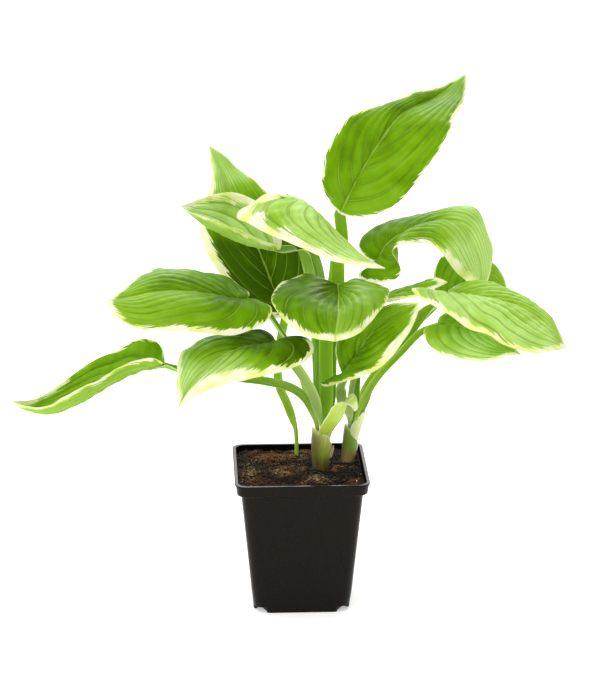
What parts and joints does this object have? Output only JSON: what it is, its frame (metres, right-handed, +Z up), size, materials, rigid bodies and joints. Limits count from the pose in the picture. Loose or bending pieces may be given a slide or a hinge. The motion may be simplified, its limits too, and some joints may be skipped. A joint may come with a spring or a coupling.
{
  "type": "potted hosta plant",
  "caption": "Hosta with green, cream-edged leaves on arching stalks, growing in a square black plastic nursery pot of potting mix.",
  "frame": {"origin": "centre of the pot's underside, on the surface that it stands on", "axes": "+Z up, -Y towards the viewer of the front, +X to the right"},
  "size_m": [0.361, 0.1736, 0.3458],
  "materials": {
    "pot_plastic": "satin moulded polypropylene",
    "potting_mix": "matt moist peat, bark and fibre",
    "crown": "pale fleshy root crown",
    "sheath": "satin leaf-base sheath",
    "dried_scale": "dry papery scale",
    "stalk": "smooth satin leaf stalk",
    "leaf": "satin ribbed leaf with a cream margin"
  },
  "bodies": {
    "root": {"pot": "pot_plastic", "potting_mix": "potting_mix", "crown": "crown", "main_outer_sheath": "sheath", "main_inner_sheath": "sheath", "right_outer_sheath": "sheath", "right_inner_sheath": "sheath", "dried_scale": "dried_scale", "stalk_top": "stalk", "leaf_top": "leaf", "stalk_arch_right": "stalk", "leaf_arch_right": "leaf", "stalk_right_large": "stalk", "leaf_right_large": "leaf", "stalk_left_large": "stalk", "leaf_left_large": "leaf", "stalk_left_low": "stalk", "leaf_left_low": "leaf", "stalk_far_left": "stalk", "leaf_far_left": "leaf", "stalk_front": "stalk", "leaf_front": "leaf", "stalk_mid_right": "stalk", "leaf_mid_right": "leaf", "stalk_upper_centre": "stalk", "leaf_upper_centre": "leaf", "stalk_upper_left": "stalk", "leaf_upper_left": "leaf", "stalk_back_left": "stalk", "leaf_back_left": "leaf", "stalk_back_right": "stalk", "leaf_back_right": "leaf", "stalk_right_low": "stalk", "leaf_right_low": "leaf", "stalk_small_right": "stalk", "leaf_small_right": "leaf"}
  },
  "joints": []
}
